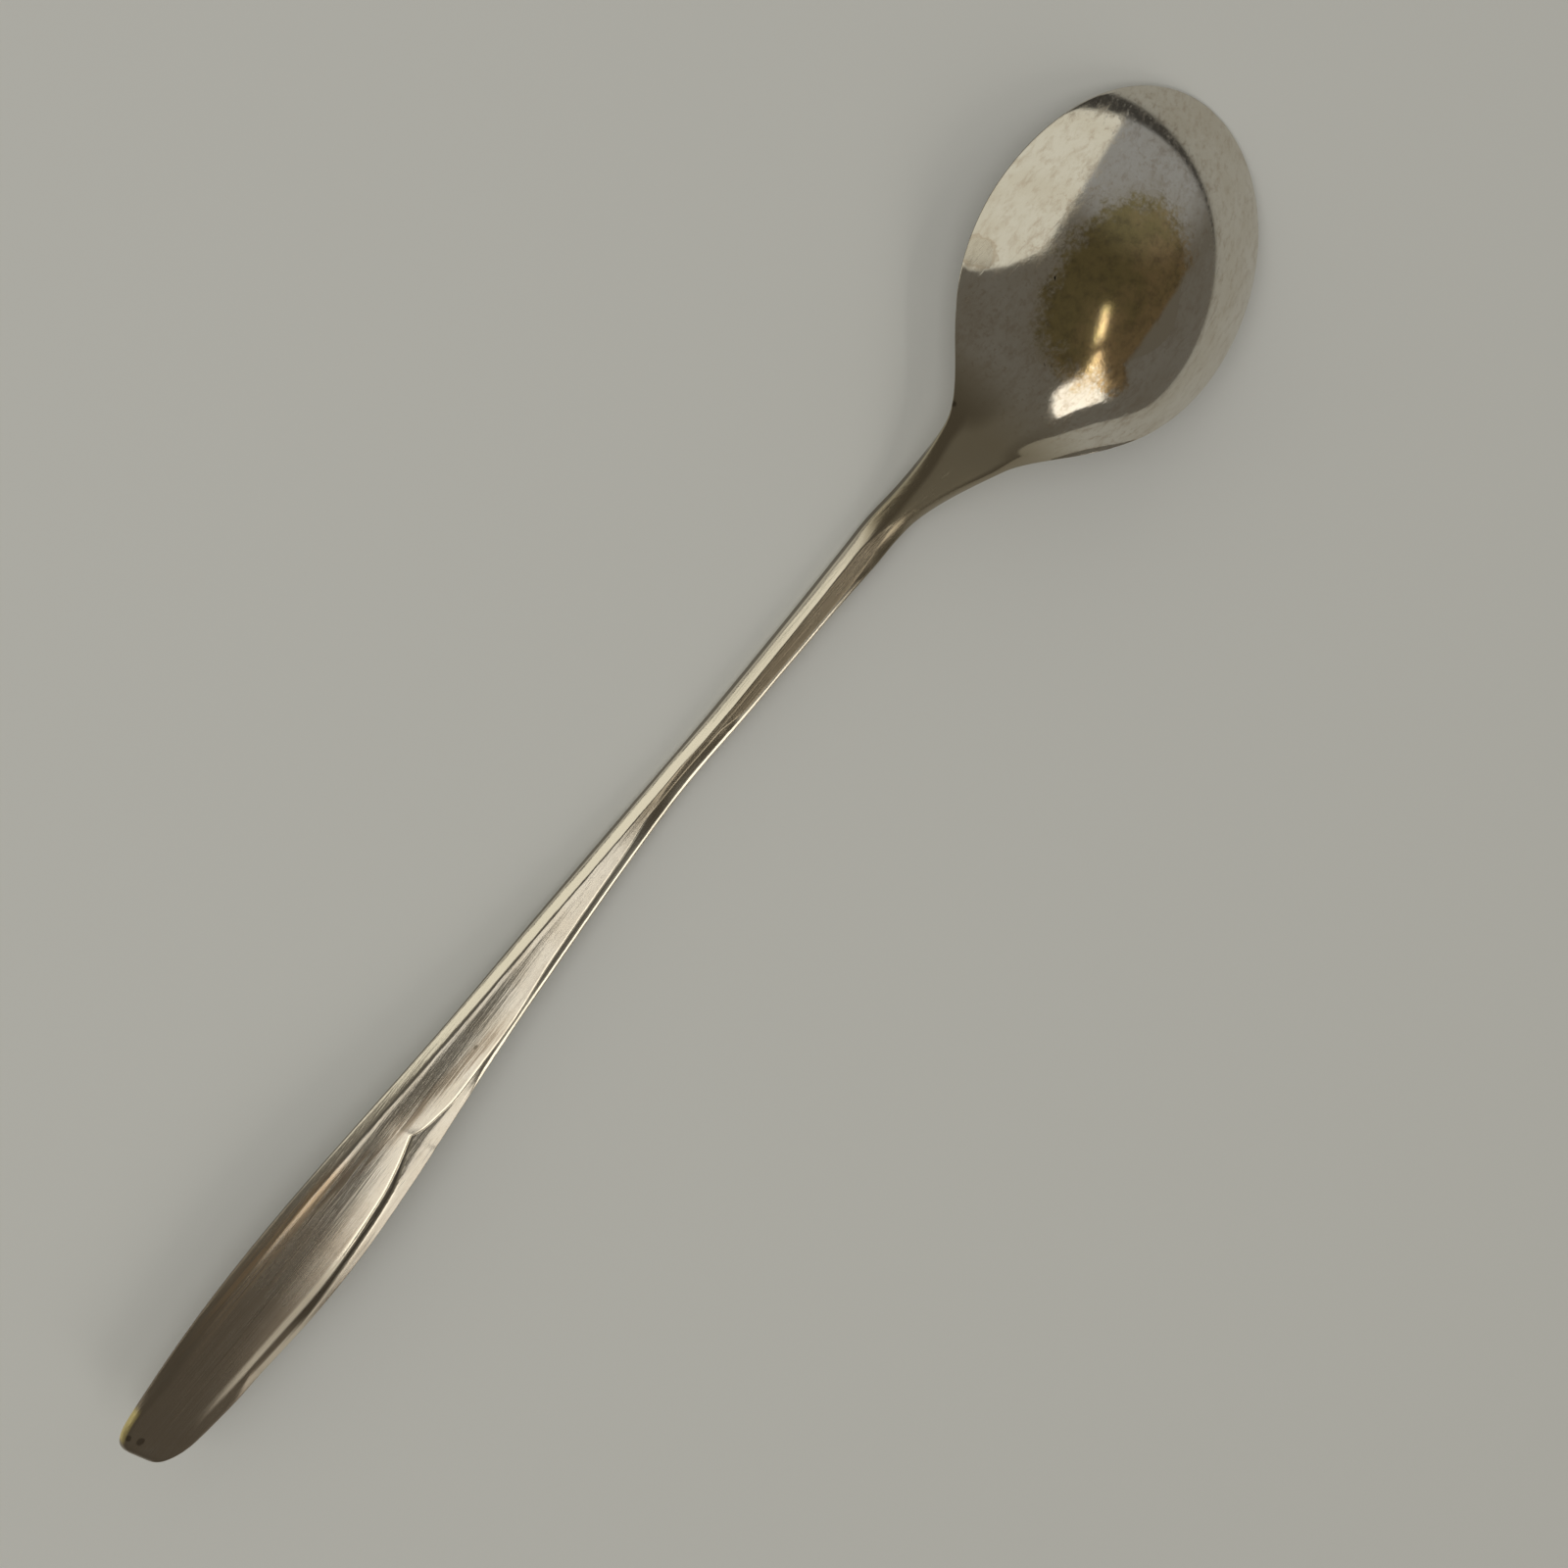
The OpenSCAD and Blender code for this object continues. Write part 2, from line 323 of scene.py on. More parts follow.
def bevelled(at, v):
    """Share of the bar's height across the back: level between the bevels and low at the edges."""
    half = half_width(at)
    left = np.minimum(curve(LEFT_BEVEL, np.minimum(at, NECK_X)), half)
    right = np.minimum(curve(RIGHT_BEVEL, np.minimum(at, NECK_X)), half)
    facet = facet_width(at)
    from_facet = np.maximum((1 + v) * half - facet, 0)
    left_power = curve(LEFT_ROUND, np.minimum(at, NECK_X + 3))
    right_power = curve(RIGHT_ROUND, np.minimum(at, NECK_X + 3))
    left_fall = np.clip(1 - (1 - v) * half / left, 0, 1) ** left_power
    right_fall = np.clip(1 - from_facet / (right - facet), 0, 1) ** right_power
    return 1 - left_fall - curve(RIGHT_FALL, np.minimum(at, NECK_X)) * right_fall


def edge_relief(at, v):
    """Fall of the facet along the right edge and rise of the crest beside the left bevel."""
    half = half_width(at)
    facet = np.maximum(facet_width(at) - (1 + v) * half, 0)
    past_bevel = (1 - v) * half - curve(LEFT_BEVEL, np.minimum(at, NECK_X))
    crest = np.clip(1 - np.maximum(past_bevel, 0) / CREST_W, 0, 1)
    crest_shown = ease(*CREST_BEGINS, at) * ease(*CREST_ENDS, at)
    return CREST_H * crest * crest_shown - FACET_SLOPE * facet


def border_inset(at):
    """Distance of the first border line, and of the crease above it, from the right edge."""
    above = curve(BORDER_ABOVE, np.clip(at, BORDER_POINT_X, BORDER_ABOVE[-1, 0]))
    below = curve(BORDER_BELOW, np.clip(at, BORDER_BELOW[0, 0], BORDER_POINT_X))
    return np.where(at > BORDER_POINT_X, above, below)


def border_share(at):
    """The same line as a share of the half width. It runs into the middle line in the stem."""
    share = np.clip(border_inset(at) / half_width(at) - 1, *BORDER_SHARES)
    return share * ease(*BORDER_LEAVES_MIDDLE, at)


def crown(at, v):
    """How far the handle's back falls towards the border line."""
    from_border = (v - border_share(at)) * half_width(at)
    share = np.clip(1 - from_border / CROWN_W, 0, 1)
    return CROWN_FALL * share ** 2 * ease(*CROWN_BEGINS, at) * ease(*CROWN_ENDS, at)


def border_lines(at, v):
    """Distances from the two border lines, to the left, and how far each is shown."""
    from_right = (1 + v) * half_width(at)
    step = 0.1
    run = (border_inset(at + step) - border_inset(at - step)) / (2 * step)
    first = (from_right - border_inset(at)) / np.sqrt(1 + run ** 2)
    first_shown = ease(*BORDER_BEGINS, at) * ease(*BORDER_ENDS, at)
    second = from_right - curve(SECOND_BORDER, np.clip(at, SECOND_BORDER[0, 0], BORDER_POINT_X))
    second_shown = ease(*SECOND_BEGINS, at) * ease(*SECOND_ENDS, at)
    return first, first_shown, second, second_shown


def step_width(at):
    """Width of the first border line's step, which is wider at the low end of the handle."""
    return STEP_W + (LOW_STEP_W - STEP_W) * ease(*LOW_STEP_BEGINS, at)


def bead(distance):
    """Section of a raised line."""
    return np.exp(-(distance / BEAD_W) ** 2)


def shine(at, v):
    """Where the handle is worn and painted bright as a highlight: 1 along the border lines, the right edge
    and the low face.
    """
    first, first_shown, second, second_shown = border_lines(at, v)
    from_right = (1 + v) * half_width(at)
    width = step_width(at)
    along_first = ease(width, 0, first) * ease(-STEP_FOOT * width, -width, first) * first_shown
    along_second = bead(second) * second_shown
    along_edge = ease(*EDGE_SHINE_W, from_right) * ease(*EDGE_SHINE_BEGINS, at) * ease(*EDGE_SHINE_ENDS, at)
    low_face = ease(*LOW_FACE_W, from_right) * ease(*LOW_FACE_BEGINS, at) * ease(*LOW_FACE_ENDS, at)
    return np.maximum.reduce([along_first, along_second, along_edge, low_face])


def from_left(at, v):
    """Distance from the left edge."""
    return (1 - v) * half_width(at)


def border_relief(at, v):
    """Height of the border lines: a step down, a step up again and a bead near the left edge."""
    first, first_shown, second, second_shown = border_lines(at, v)
    down = STEP_H * ease(0, -step_width(at), first) * first_shown
    up = SECOND_H * ease(SECOND_W, 0, second) * second_shown
    slim = bead(from_left(at, v) - SLIM_BEAD_INSET)
    slim_shown = ease(*SLIM_BEAD_BEGINS, at) * ease(*SLIM_BEAD_ENDS, at)
    return up - down + SLIM_BEAD_H * slim * slim_shown


def recess(at, v):
    """Where dirt has gathered: 1 in the groove between the border lines, less at the first one's foot."""
    first, first_shown, second, second_shown = border_lines(at, v)
    width = step_width(at)
    groove = ease(-width, -GROOVE_FROM * width, first) * ease(0, SECOND_W, second) * second_shown
    foot = bead((first + STEP_FOOT * width) * 2) * first_shown
    return np.maximum(groove, FOOT_DIRT * foot)


def back_point(at, v):
    """Points of the back, from place along the spoon and share of the half width."""
    fade = 1 - ease(NECK_X + 4, JOIN_X, at)
    bar = bar_height(at) * fade * bevelled(at, v)
    wing = 1 + HEEL_WING * ease(*HEEL_WING_ENDS, at)
    dome = BOWL_DEPTH * swell(at, DOME_RUN) * (1 - v * v) ** wing
    relief = border_relief(at, v) + edge_relief(at, v) - crown(at, v)
    z = edge_z(at) + half_edge(at) + bar + dome + relief
    return np.stack([at, sideways(at, v), z], -1)


def front_point(at, v):
    """Points of the front, which is hollow in the bowl."""
    to_stem = (STEM_SQUARE - FRONT_SQUARE) * ease(THICKEN_X, REST_X, at)
    to_neck = (NECK_SQUARE - STEM_SQUARE) * ease(NECK_X, HEEL_X, at)
    rounded = 1 - np.abs(v) ** (FRONT_SQUARE + to_stem + to_neck)
    bar = bar_height(at) * (1 - ease(NECK_X, HEEL_X + 4, at)) * rounded
    hollow = (BOWL_DEPTH + RIM_T - BOWL_WALL) * swell(at, HOLLOW_RUN) * (1 - v * v)
    shrink = in_bowl(at) * RIM_W / (BOWL_W / 2)
    z = edge_z(at) - half_edge(at) - bar + hollow
    return np.stack([at + (WIDE_X - at) * shrink, sideways(at, v) * (1 - shrink), z], -1)


def unit(vectors):
    """The same directions with length 1."""
    return vectors / np.linalg.norm(vectors, axis=-1, keepdims=True)


# Steps of the fine mesh: along each stretch, across each face and around each rounded corner
END_STEPS = 22
LOW_HANDLE_STEPS = 130
HIGH_HANDLE_STEPS = 170
STEM_STEPS = 50
NECK_STEPS = 50
BOWL_BACK_STEPS = 34
BOWL_FRONT_STEPS = 56
LEFT_COLUMNS = 40
RIGHT_COLUMNS = 40
BACK_COLUMNS = LEFT_COLUMNS + RIGHT_COLUMNS + 1
FRONT_COLUMNS = 37
CORNER_STEPS = 4
CORNER_R = 0.2
CORNER_OF_EDGE = 0.8
CORNER_OF_WIDTH = 0.3
END_MARGIN = 0.005

# How far columns are gathered at the edges: on the back of the bowl and of the handle, and on the front
BOWL_GATHER = 0.3
HANDLE_GATHER = 0.8
FRONT_GATHER = 0.4

# Place where the plate has its full thickness again, with 1 on the edge of the worn patch
THINNED_TO = 1.3


def stations():
    """Places along the spoon that have a ring of points."""
    end_angles = np.radians(np.linspace(FIRST_ANGLE, 90, END_STEPS))
    front_angles = np.radians(np.linspace(0, LAST_ANGLE, BOWL_FRONT_STEPS + 1)[1:])
    at = np.concatenate([
        END_ROUND * (1 - np.cos(end_angles) ** (2 / END_SQUARE)),
        np.linspace(END_ROUND, BORDER_POINT_X, LOW_HANDLE_STEPS + 1)[1:],
        np.linspace(BORDER_POINT_X, SLIM_X, HIGH_HANDLE_STEPS + 1)[1:],
        np.linspace(SLIM_X, NECK_X, STEM_STEPS + 1)[1:],
        np.linspace(NECK_X, JOIN_X, NECK_STEPS + 1)[1:],
        np.linspace(JOIN_X, WIDE_X, BOWL_BACK_STEPS + 1)[1:],
        WIDE_X + BOWL_FRONT * np.sin(front_angles),
    ])
    return np.clip(at, FIRST_X + END_MARGIN, LAST_X - END_MARGIN)


def back_shares(at, reach):
    """Shares of the half width for the back's columns, gathered at both edges and at the border line."""
    middle = border_share(at)[:, None]
    tight = BOWL_GATHER + (HANDLE_GATHER - BOWL_GATHER) * ease(NECK_X, SLIM_X, at)[:, None]

    def gathered(steps):
        return steps - tight * np.sin(2 * math.pi * steps) / (2 * math.pi)

    left = gathered(np.linspace(0, 1, LEFT_COLUMNS + 1)[None, :])
    right = gathered(np.linspace(0, 1, RIGHT_COLUMNS + 1)[None, 1:])
    return np.concatenate([
        reach[:, None] + (middle - reach[:, None]) * left,
        middle - (reach[:, None] + middle) * right,
    ], 1)


def spread(count):
    """Shares of the half width from 1 to -1, closer together towards the edges."""
    s = np.linspace(1, -1, count)
    return (1 - FRONT_GATHER) * s + FRONT_GATHER * np.sin(s * math.pi / 2)


def corner(first, tip, last):
    """Points that round a corner, without its two ends."""
    steps = np.linspace(0, 1, CORNER_STEPS + 1)[1:-1, None]
    return [(1 - t) ** 2 * first + 2 * t * (1 - t) * tip + t * t * last for t in steps]


def edge_ring(at, side, radius):
    """Rounded edge on one side, from the back to the front, with both ends of the flat wall."""
    v = np.full(at.shape, float(side))
    inner_v = side * (1 - radius / half_width(at))
    top = back_point(at, v)
    low = front_point(at, v)
    down = unit(low - top) * radius[:, None]
    rounded_top = corner(back_point(at, inner_v), top, top + down)
    rounded_low = corner(low - down, low, front_point(at, inner_v))
    return [*rounded_top, top + down, low - down, *rounded_low]


def worn_share(x, y):
    """1 on the edge of the worn patch, less inside it."""
    along = (x - (TIP_X - WORN_FROM_TIP)) * 2 / WORN_L
    sideways = (y - WORN_OFF) * 2 / WORN_W
    turn = np.arctan2(sideways, along)
    ragged = 1 + WORN_RAGGED * np.sin(3 * turn) + WORN_RAGGED / 2 * np.sin(7 * turn)
    return np.hypot(along, sideways) / ragged


def spoon_grid():
    """Grid of points, one ring for each station: the back, the right edge, the front, the left edge."""
    at = stations()
    half = half_width(at)
    radius = np.minimum(np.minimum(CORNER_R, half_edge(at) * CORNER_OF_EDGE), half * CORNER_OF_WIDTH)
    reach = 1 - radius / half
    back = [back_point(at, v) for v in back_shares(at, reach).T]
    front = [front_point(at, -reach * v) for v in spread(FRONT_COLUMNS)]
    right = edge_ring(at, -1, radius)
    left = edge_ring(at, 1, radius)[::-1]
    return np.stack([*back, *right, *front, *left], 1)


def handle_shares(points, function):
    """A share of the handle's back at each point, and 0 on the front and in the bowl."""
    at, across, height = points.T
    half = half_width(at)
    on_handle = (at > END_ROUND) & (at < NECK_X) & (height > edge_z(at))
    share = np.clip(across / half, -1, 1)
    return np.where(on_handle, function(at, share), 0)


def plate_thickness(grid):
    """Thickness of the plate at each point: it thins out towards the worn patch."""
    on_back = np.arange(grid.shape[1]) < BACK_COLUMNS
    worn = worn_share(grid[..., 0], grid[..., 1])
    thinned = PLATE_EDGE_T + (PLATE_T - PLATE_EDGE_T) * ease(1, THINNED_TO, worn)
    return np.where(on_back & (grid[..., 0] > NECK_X), thinned, PLATE_T)


def back_normal(at, v):
    """Unit normals of the back, from short steps along and across it."""
    step = 0.01
    along = back_point(at + step, v) - back_point(at - step, v)
    across = back_point(at, v + step) - back_point(at, v - step)
    return unit(np.cross(along, across))


def worn_cells(grid, normal):
    """Cells of the back that the patch covers, after moving the corners around it onto its edge."""
    back = grid[:, :BACK_COLUMNS]
    middle = (back[:-1, :-1] + back[1:, 1:]) / 2
    worn = (worn_share(middle[..., 0], middle[..., 1]) < 1) & (middle[..., 0] > NECK_X)
    count = np.zeros(back.shape[:2], int)
    for rows in (slice(0, -1), slice(1, None)):
        for columns in (slice(0, -1), slice(1, None)):
            count[rows, columns] += worn
    on_edge = (count > 0) & (count < 4)
    share = worn_share(back[..., 0], back[..., 1])[on_edge]
    x = TIP_X - WORN_FROM_TIP + (back[..., 0][on_edge] - (TIP_X - WORN_FROM_TIP)) / share
    y = WORN_OFF + (back[..., 1][on_edge] - WORN_OFF) / share
    back[on_edge] = back_point(x, y / half_width(x))
    normal[:, :BACK_COLUMNS][on_edge] = back_normal(x, y / half_width(x))
    return worn


def outward(grid):
    """Unit normals of the grid, leaning out past both ends."""
    along = np.gradient(grid, axis=0)
    around = np.roll(grid, -1, 1) - np.roll(grid, 1, 1)
    normal = unit(np.cross(around, along))
    normal[0, :, 0] -= 1
    normal[-1, :, 0] += 1
    return unit(normal)


def cell_corners(rows, ring):
    """Corner numbers of every cell, in the order that faces outward."""
    i, j = np.meshgrid(np.arange(rows - 1), np.arange(ring), indexing="ij")
    k = (j + 1) % ring
    return np.stack([i * ring + j, i * ring + k, (i + 1) * ring + k, (i + 1) * ring + j], -1)


def end_fans(rows, ring, hub):
    """Triangles that close both ends onto two hub points."""
    j = np.arange(ring)
    k = (j + 1) % ring
    last = (rows - 1) * ring
    first_fan = np.stack([np.full(ring, hub), k, j], -1)
    last_fan = np.stack([np.full(ring, hub + 1), last + j, last + k], -1)
    return np.concatenate([first_fan, last_fan]).tolist()


# Names of the shares that each mesh carries for its material
RECESS = "recess"
SHINE = "shine"
FROM_LEFT = "from_left"


def closed_points(grid):
    """All points of the grid and then the hubs of its two ends."""
    hubs = np.stack([grid[0].mean(0), grid[-1].mean(0)])
    return np.concatenate([grid.reshape(-1, 3), hubs])


def make_piece(name, points, normals, faces):
    """Mesh object from points in millimetres, shaded by exact normals."""
    mesh = bpy.data.meshes.new(name)
    moved = (points - np.array([MIDDLE_X, 0, 0])) * MM
    mesh.from_pydata(moved.tolist(), [], faces)
    mesh.polygons.foreach_set("use_smooth", [True] * len(faces))
    for share_name, function in ((RECESS, recess), (SHINE, shine), (FROM_LEFT, from_left)):
        attribute = mesh.attributes.new(share_name, "FLOAT", "POINT")
        attribute.data.foreach_set("value", handle_shares(points, function))
    mesh.update()
    mesh.normals_split_custom_set_from_vertices(normals.tolist())
    piece = bpy.data.objects.new(name, mesh)
    bpy.context.scene.collection.objects.link(piece)
    return piece


def build_spoon():
    """The blank and the plate around it, open where the plate has worn through."""
    blank_grid = spoon_grid()
    normal = outward(blank_grid)
    worn = worn_cells(blank_grid, normal)
    rows, ring = blank_grid.shape[:2]
    plate_grid = blank_grid + plate_thickness(blank_grid)[..., None] * normal
    normals = np.concatenate([normal.reshape(-1, 3), [(-1, 0, 0), (1, 0, 0)]])
    blank_points = closed_points(blank_grid)
    plate_points = closed_points(plate_grid)
    cells = cell_corners(rows, ring)
    fans = end_fans(rows, ring, rows * ring)
    blank = make_piece("blank_brass", blank_points, normals, cells.reshape(-1, 4).tolist() + fans)

    kept = np.ones(cells.shape[:2], bool)
    kept[:, :BACK_COLUMNS - 1] = ~worn
    outer = cells[kept].tolist() + fans
    below = len(plate_points)
    inner = [[corner_number + below for corner_number in reversed(face)] for face in outer]
    walls = []
    for i, j in np.argwhere(~kept):
        around = cells[i, j]
        neighbours = [(i - 1, j), (i, j + 1), (i + 1, j), (i, j - 1)]
        for side, (ni, nj) in enumerate(neighbours):
            if kept[ni, nj % ring]:
                a, b = around[side], around[(side + 1) % 4]
                walls.append([int(a), int(b), int(b) + below, int(a) + below])
    points = np.concatenate([plate_points, blank_points])
    plate = make_piece("plate_silver", points, np.concatenate([normals, -normals]), outer + inner + walls)
    return blank, plate


class Nodes:
    """Short helpers for one material's or the world's node tree."""

    def __init__(self, tree):
        self.tree = tree
        tree.nodes.clear()

    def add(self, kind, **settings):
        node = self.tree.nodes.new(kind)
        for key, value in settings.items():
            setattr(node, key, value)
        return node

    def put(self, value, socket):
        if isinstance(value, bpy.types.NodeSocket):
            self.tree.links.new(value, socket)
        else:
            socket.default_value = value

    def math(self, operation, *values):
        node = self.add("ShaderNodeMath", operation=operation)
        for value, socket in zip(values, node.inputs):
            self.put(value, socket)
        return node.outputs[0]

    def chain(self, operation, values):
        """One value from many, each joined to the ones before it."""
        result = values[0]
        for value in values[1:]:
            result = self.math(operation, result, value)
        return result

    def times(self, *values):
        return self.chain("MULTIPLY", values)

    def plus(self, *values):
        return self.chain("ADD", values)

    def largest(self, *values):
        return self.chain("MAXIMUM", values)

    def weighted(self, pairs):
        """Sum of shares, each times its weight."""
        return self.plus(*[self.times(share, weight) for share, weight in pairs])

    def dot(self, vector, axis):
        node = self.add("ShaderNodeVectorMath", operation="DOT_PRODUCT")
        self.put(vector, node.inputs[0])
        node.inputs[1].default_value = axis
        return node.outputs["Value"]

    def smooth(self, value, low, high):
        """Smooth step: 0 at low and 1 at high, which may also lie below it."""
        node = self.add("ShaderNodeMapRange", interpolation_type="SMOOTHSTEP")
        self.put(value, node.inputs["Value"])
        node.inputs["From Min"].default_value = low
        node.inputs["From Max"].default_value = high
        return node.outputs["Result"]

    def between(self, value, start, full, end, gone):
        """1 between full and end, and 0 before start and after gone."""
        return self.times(self.smooth(value, start, full), self.smooth(value, gone, end))

    def mix(self, share, a, b):
        node = self.add("ShaderNodeMix", data_type="RGBA")
        self.put(share, node.inputs["Factor"])
        self.put(a, node.inputs["A"])
        self.put(b, node.inputs["B"])
        return node.outputs["Result"]

    def noise(self, vector, scale, detail, rough):
        node = self.add("ShaderNodeTexNoise")
        self.put(vector, node.inputs["Vector"])
        node.inputs["Scale"].default_value = scale
        node.inputs["Detail"].default_value = detail
        node.inputs["Roughness"].default_value = rough
        return node.outputs["Fac"]

    def stretched(self, vector, scale, turn=0.0):
        node = self.add("ShaderNodeMapping")
        self.put(vector, node.inputs["Vector"])
        node.inputs["Scale"].default_value = scale
        node.inputs["Rotation"].default_value = (0, 0, turn)
        return node.outputs["Vector"]

    def attribute(self, name):
        """A share that the mesh carries."""
        return self.add("ShaderNodeAttribute", attribute_name=name).outputs["Fac"]


# Colours of the metals, with painted highlights (HIGHLIGHT_SILVER, GOLD_HIGHLIGHT), a painted dark
# reflection on brown tarnish (STEM_TARNISH_AND_REFLECTION) and a dark tarnish that also paints shade
# (DARK_TARNISH_AND_SHADE)
SILVER = (0.66, 0.625, 0.555, 1)
HIGHLIGHT_SILVER = (0.87, 0.80, 0.67, 1)
WARM_SILVER = (0.56, 0.505, 0.41, 1)
TARNISH = (0.46, 0.385, 0.30, 1)
OLIVE_TARNISH = (0.53, 0.465, 0.325, 1)
STEM_TARNISH_AND_REFLECTION = (0.27, 0.225, 0.155, 1)
BRONZE_TARNISH = (0.90, 0.67, 0.44, 1)
DARK_TARNISH_AND_SHADE = (0.10, 0.08, 0.055, 1)
BRASS = (0.54, 0.385, 0.20, 1)
OLD_BRASS = (0.365, 0.295, 0.135, 1)
GOLD_HIGHLIGHT = (0.86, 0.72, 0.34, 1)

# Roughness of the clean metals, and the height in metres of the finest relief
SILVER_ROUGHNESS = 0.06
BRASS_ROUGHNESS = 0.11
BUMP_HEIGHT = 0.00006

# Stretches along the spoon with a colour of their own, some of them painted highlights and shade: where
# each starts, is full, begins to end and is gone
STEM_STAIN = (107, 113, 128, 134)
NECK_STAIN = (NECK_X - 9, NECK_X, HEEL_X + 2, JOIN_X + 3)
NECK_OLIVE = (NECK_X - 8, NECK_X, HEEL_X + 1, JOIN_X)
BAND_STRETCH = (34, 42, 62, 74)
BRONZE_STRETCH = (12, 30, 38, 48)
SHADED_EDGE_STRETCH = (5, 9, 40, 50)
GOLD_STRETCH = (0.8, 1.6, 5, 6.5)
BROWN_STEM = (96, 104, 133, 138)
BROWN_SLOPE = (90, 97, 108, 113)
BROWN_SIDES = (125, 131, 148, 155)
BROWN_NECK = (124, 128, 136, 142)
RIGHT_HIGHLIGHT = (14, 24, 124, 130)
HEEL_SPECKS = (148, 152, 158, 163)

# Places along the spoon where a share is 0 and where it is 1
OLD_END = (54, 18)
LEFT_HIGHLIGHT_BEGINS = (38, 50)
HIGHLIGHT_ENDS = (136, 128)
DARK_REFLECTION_HANDLE = (104, 92)
DARK_REFLECTION_END = (40, 16)
SCUFFED_END = (38, 28)

# Distances from the left edge: the bronze strip beside it and the painted shade on the edge itself
BRONZE_STRIP = (0.2, 0.9, 1.5, 2.9)
SHADED_EDGE_STRIP = (0.8, 0.2)

# How far a surface faces up, or left, where a share is 0 and where it is 1
WALL_FACES_UP = (0.3, 0.12)
WALL_FACES_LEFT = (0.0, 0.3)
FLAT_FACES_UP = (0.9, 0.97)
SLOPE_FACES_UP = (0.8, 0.88)
SIDE_FACES_ASIDE = (0.15, 0.4)
BRIGHT_EDGE_FACES_LEFT = (0.8, 0.65)
RIGHT_HALF_FACES_LEFT = (0.02, -0.06)
LEFT_BEVEL_FACES_LEFT = (0.3, 0.55)
RIGHT_BEVEL_FACES_LEFT = (-0.5, -0.65)
GOLD_FACES_LEFT = (0.3, 0.6)

# A brown band that crosses the handle at a slant, from the border line to the left edge
BAND_ALONG = 0.183
BAND_ACROSS = 0.983
BAND_PLACE = 10.35
BAND_EDGE = (1.7, 0.3)

# Spots by place and half size: plate kept in the worn patch, the patch's tail, a water mark, dark flecks
KEPT_PLATE = ((168, -5.2), (6, 2))
PATCH_TAIL = ((160.4, -4.6), (1.6, 1.6))
WATER_MARK = ((161.4, 13.3), (1.5, 1.5))
DARK_FLECKS = (
    ((63.6, -0.6), (0.4, 0.22)),
    ((2.4, 1.3), (0.7, 0.5)),
    ((2.2, 2.7), (0.5, 0.4)),
    ((149.1, 5.2), (0.3, 0.3)),
)

# Outlines of spots and of the worn patch, as distances that are 1 on the plain outline
SPOT_EDGE = (1.35, 0.6)
WATER_EDGE = (0.7, 0.9, 0.95, 1.15)
BARE_EDGE = (1.15, 0.85)
THIN_EDGE = (1.5, 1.0)
NEAR_PATCH = (1.9, 1.2)
UNDER_PLATE = (1.2, 1.3)


def place_nodes(nodes):
    """The place in millimetres as a vector, and the distances along and across the spoon."""
    coordinates = nodes.add("ShaderNodeTexCoord")
    vector = nodes.stretched(coordinates.outputs["Object"], (1 / MM, 1 / MM, 1 / MM))
    parts = nodes.add("ShaderNodeSeparateXYZ")
    nodes.put(vector, parts.inputs[0])
    return vector, nodes.plus(parts.outputs["X"], MIDDLE_X), parts.outputs["Y"]


def oval_nodes(nodes, along, across, place, size):
    """Distance from the middle of an oval: 1 on its outline."""
    x = nodes.times(nodes.math("SUBTRACT", along, place[0]), 1 / size[0])
    y = nodes.times(nodes.math("SUBTRACT", across, place[1]), 1 / size[1])
    return nodes.math("SQRT", nodes.plus(nodes.times(x, x), nodes.times(y, y)))


def spot_nodes(nodes, along, across, place, size, ragged):
    """1 inside a spot with a soft ragged outline and 0 outside it."""
    far = nodes.plus(oval_nodes(nodes, along, across, place, size), ragged)
    return nodes.smooth(far, *SPOT_EDGE)


def ragged_nodes(nodes, vector, scale, size):
    """Noise around 0 that makes an outline ragged."""
    return nodes.times(nodes.math("SUBTRACT", nodes.noise(vector, scale, detail=6, rough=0.65), 0.5), size)


def grain_nodes(nodes, vector):
    """Fine even grain of both metals."""
    return nodes.noise(vector, 3.5, detail=4, rough=0.6)


def patch_oval(nodes, along, across):
    """Distance from the middle of the worn patch: 1 on its plain outline."""
    middle = (TIP_X - WORN_FROM_TIP, WORN_OFF)
    return oval_nodes(nodes, along, across, middle, (WORN_L / 2, WORN_W / 2))


def patch_nodes(nodes, vector, along, across):
    """Distance from the middle of the patch, 1 on its ragged outline, and 1 where the brass is bare."""
    ragged = nodes.plus(ragged_nodes(nodes, vector, 0.5, 0.8), ragged_nodes(nodes, vector, 2.2, 0.6))
    kept = spot_nodes(nodes, along, across, *KEPT_PLATE, ragged)
    tail = spot_nodes(nodes, along, across, *PATCH_TAIL, ragged)
    moved = nodes.weighted(((kept, 0.35), (tail, -0.4)))
    far = nodes.plus(patch_oval(nodes, along, across), ragged, moved)
    return far, nodes.smooth(far, *BARE_EDGE)


def scratch_nodes(nodes, vector, turn, scale):
    """Fine straight scratches at one angle: 1 on a scratch."""
    turned = nodes.stretched(vector, (0.05 * scale, 2.5 * scale, 1), turn)
    return nodes.smooth(nodes.noise(turned, 1.0, detail=3, rough=0.7), 0.62, 0.72)


def brass_tone(nodes, vector, across):
    """Colour of the bare brass: olive to the left, redder to the right, with dark blotches."""
    cloud = nodes.noise(vector, 0.35, detail=6, rough=0.65)
    redder = nodes.smooth(nodes.plus(cloud, nodes.times(across, -0.05)), 0.25, 0.75)
    blotches = nodes.smooth(nodes.noise(vector, 0.9, detail=5, rough=0.7), 0.4, 0.75)
    colour = nodes.mix(redder, OLD_BRASS, BRASS)
    return nodes.mix(nodes.times(blotches, 0.5), colour, DARK_TARNISH_AND_SHADE)


